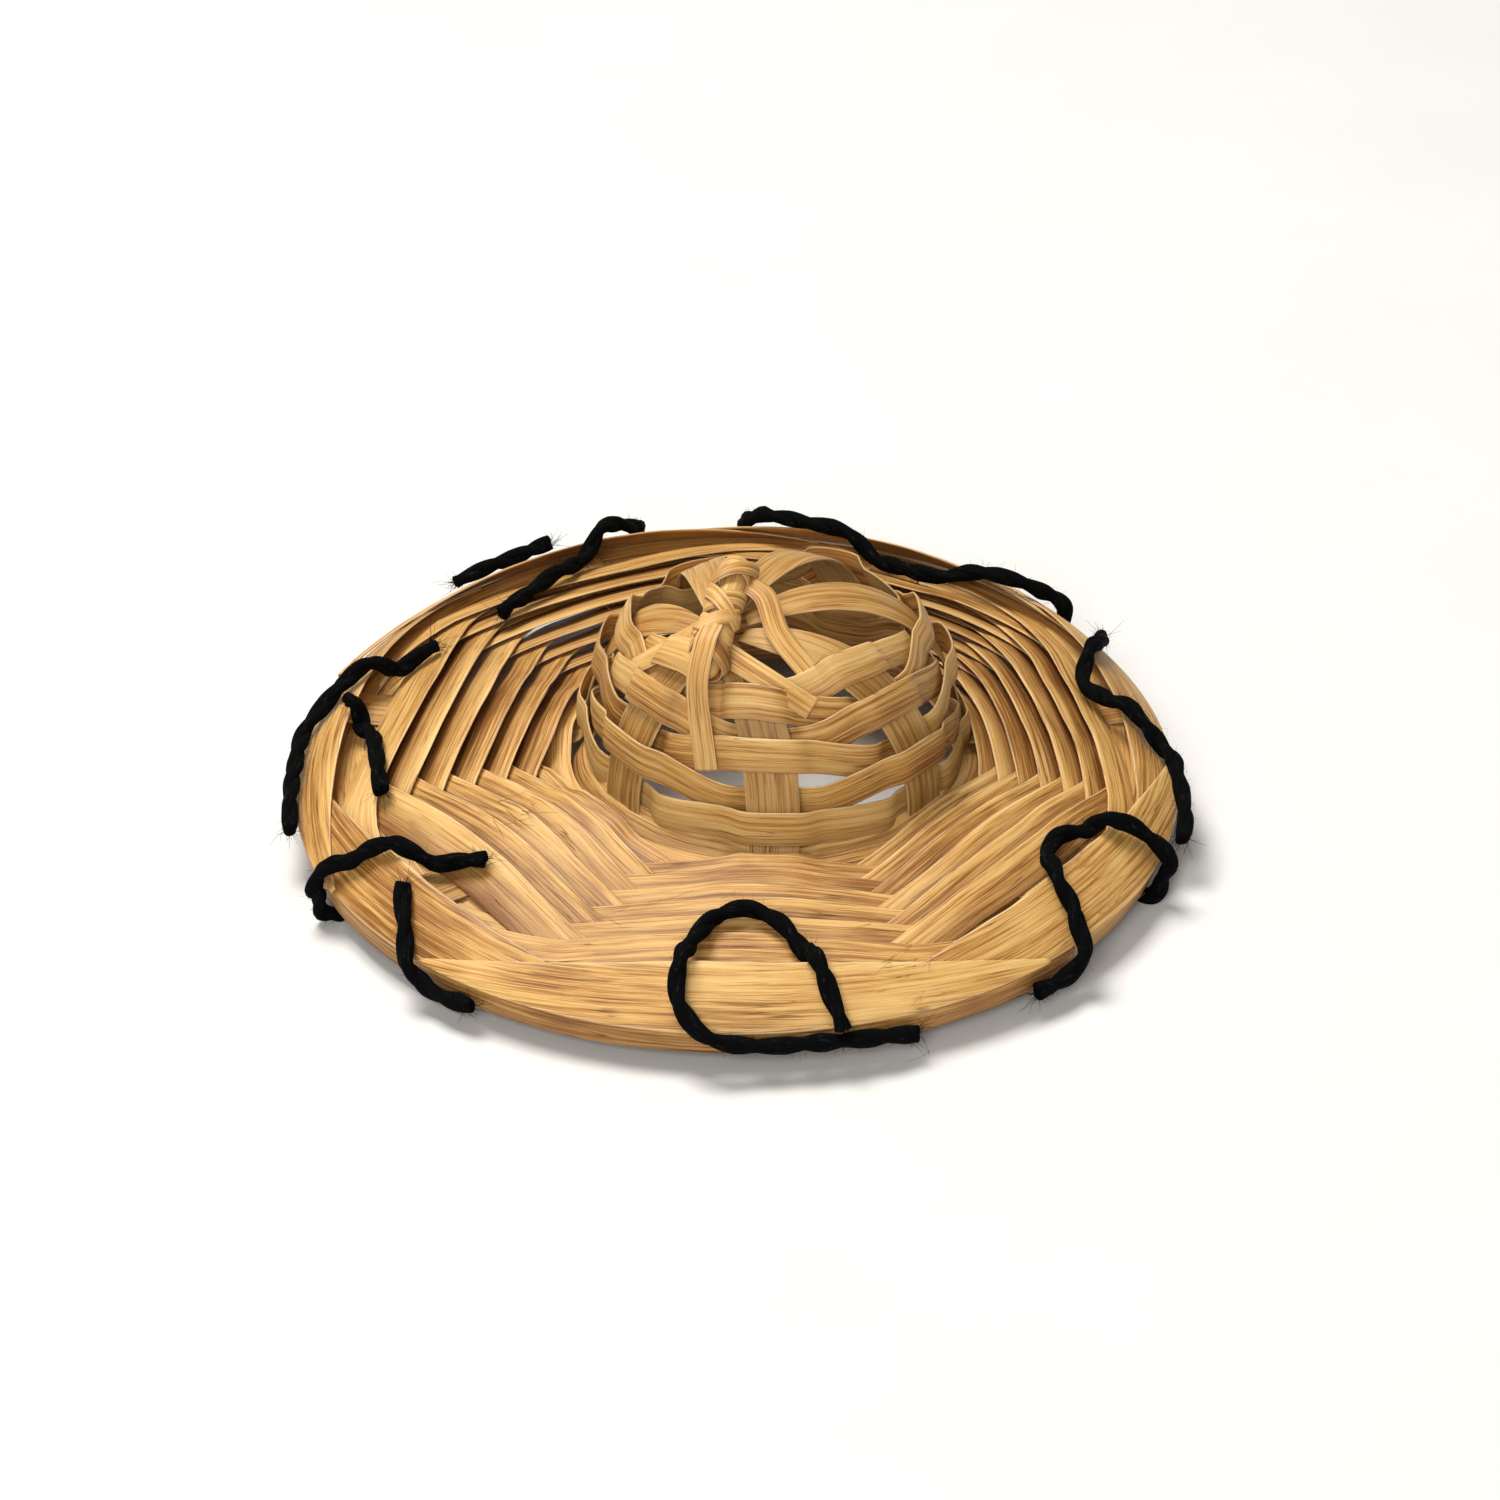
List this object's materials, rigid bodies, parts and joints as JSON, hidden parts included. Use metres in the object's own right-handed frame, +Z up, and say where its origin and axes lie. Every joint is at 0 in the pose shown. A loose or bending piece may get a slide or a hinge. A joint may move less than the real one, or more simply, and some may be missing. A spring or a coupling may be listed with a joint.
{
  "type": "plaited sun hat",
  "caption": "Miniature sun hat plaited from flat straw splints: open-work domed crown on a wide shingled round brim, its rim bound by a hoop and black thread lashings.",
  "frame": {"origin": "centre of the bounding box's bottom face, on the surface that the hat rests on", "axes": "+Z up, out of the top of the crown; -Y the front, where the lashing that runs along the rim's front edge is; +X to the right as seen from the front"},
  "size_m": [0.0517, 0.0528, 0.0176],
  "materials": {
    "splint": "natural straw, satin, with fine lengthwise grain",
    "stake_splint": "natural straw a little darker, satin, with fine lengthwise grain",
    "black_thread": "twisted matte black thread, a little fuzzy"
  },
  "bodies": {
    "root": {"stake_1": "stake_splint", "stake_2": "stake_splint", "stake_3": "stake_splint", "stake_4": "stake_splint", "stake_5": "stake_splint", "stake_6": "stake_splint", "stake_7": "stake_splint", "brim_weaver_01": "splint", "brim_weaver_02": "splint", "brim_weaver_03": "splint", "brim_weaver_04": "splint", "brim_weaver_05": "splint", "brim_weaver_06": "splint", "brim_weaver_07": "splint", "brim_weaver_08": "splint", "brim_weaver_09": "splint", "brim_weaver_10": "splint", "brim_weaver_11": "splint", "crown_weaver_1": "splint", "crown_weaver_2": "splint", "crown_weaver_3": "splint", "crown_weaver_4": "splint", "crown_weaver_5": "splint", "knot_core": "stake_splint", "knot_wrap_1": "splint", "knot_wrap_2": "splint", "knot_wrap_3": "splint", "knot_wrap_4": "splint", "rim_hoop": "splint", "rim_facing_1": "splint", "rim_facing_2": "splint", "rim_facing_3": "splint", "rim_facing_4": "splint", "rim_facing_5": "splint", "rim_facing_6": "splint", "rim_facing_7": "splint", "lashing_front": "black_thread", "lashing_right_front": "black_thread", "lashing_right": "black_thread", "lashing_back_right": "black_thread", "lashing_back_left": "black_thread", "lashing_back_left_end": "black_thread", "lashing_left": "black_thread", "lashing_left_end": "black_thread", "lashing_left_front": "black_thread", "lashing_left_front_end": "black_thread"}
  },
  "joints": []
}
